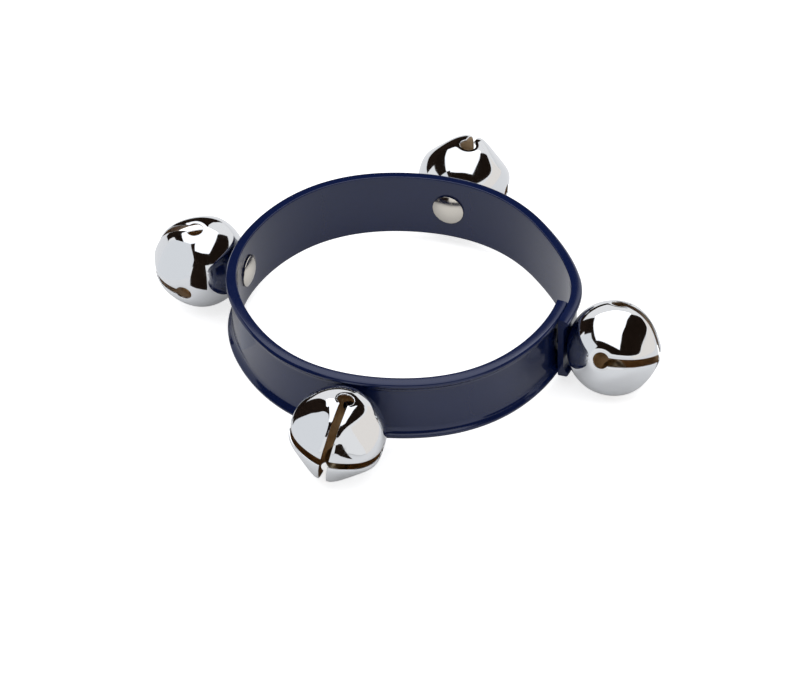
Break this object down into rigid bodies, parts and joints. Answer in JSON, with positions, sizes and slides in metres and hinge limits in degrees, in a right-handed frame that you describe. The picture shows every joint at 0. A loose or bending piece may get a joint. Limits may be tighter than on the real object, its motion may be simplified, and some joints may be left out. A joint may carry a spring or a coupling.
{
  "type": "wrist bells",
  "caption": "Soft plastic wrist strap closed into a ring, with round slotted bells riveted round its outside and a loose pellet in each that rings when the hand is shaken.",
  "frame": {"origin": "centre of the wrist opening, at mid width of the strap", "axes": "+Z along the wrist through the ring, +X out through the bell on the strap's joint"},
  "size_m": [0.1235, 0.1208, 0.022],
  "materials": {
    "strap_pvc": "satin extruded soft PVC, navy",
    "bell_chrome": "bright chrome plate on stamped steel",
    "rivet_nickel": "bright nickel plate",
    "pellet_steel": "plain steel ball"
  },
  "bodies": {
    "ring": {"strap": "strap_pvc", "bell_1": "bell_chrome", "bell_2": "bell_chrome", "bell_3": "bell_chrome", "bell_4": "bell_chrome", "rivet_1": "rivet_nickel", "rivet_2": "rivet_nickel", "rivet_3": "rivet_nickel", "rivet_4": "rivet_nickel"},
    "pellet_1": {"pellet_1": "pellet_steel"},
    "pellet_2": {"pellet_2": "pellet_steel"},
    "pellet_3": {"pellet_3": "pellet_steel"},
    "pellet_4": {"pellet_4": "pellet_steel"}
  },
  "joints": [
    {"name": "pellet_1_bounce", "type": "slide", "parent": "ring", "child": "pellet_1", "axis": [0, 0, 1], "range_m": [0, 0.014]},
    {"name": "pellet_2_bounce", "type": "slide", "parent": "ring", "child": "pellet_2", "axis": [0, 0, 1], "range_m": [0, 0.014]},
    {"name": "pellet_3_bounce", "type": "slide", "parent": "ring", "child": "pellet_3", "axis": [0, 0, 1], "range_m": [0, 0.014]},
    {"name": "pellet_4_bounce", "type": "slide", "parent": "ring", "child": "pellet_4", "axis": [0, 0, 1], "range_m": [0, 0.014]}
  ]
}
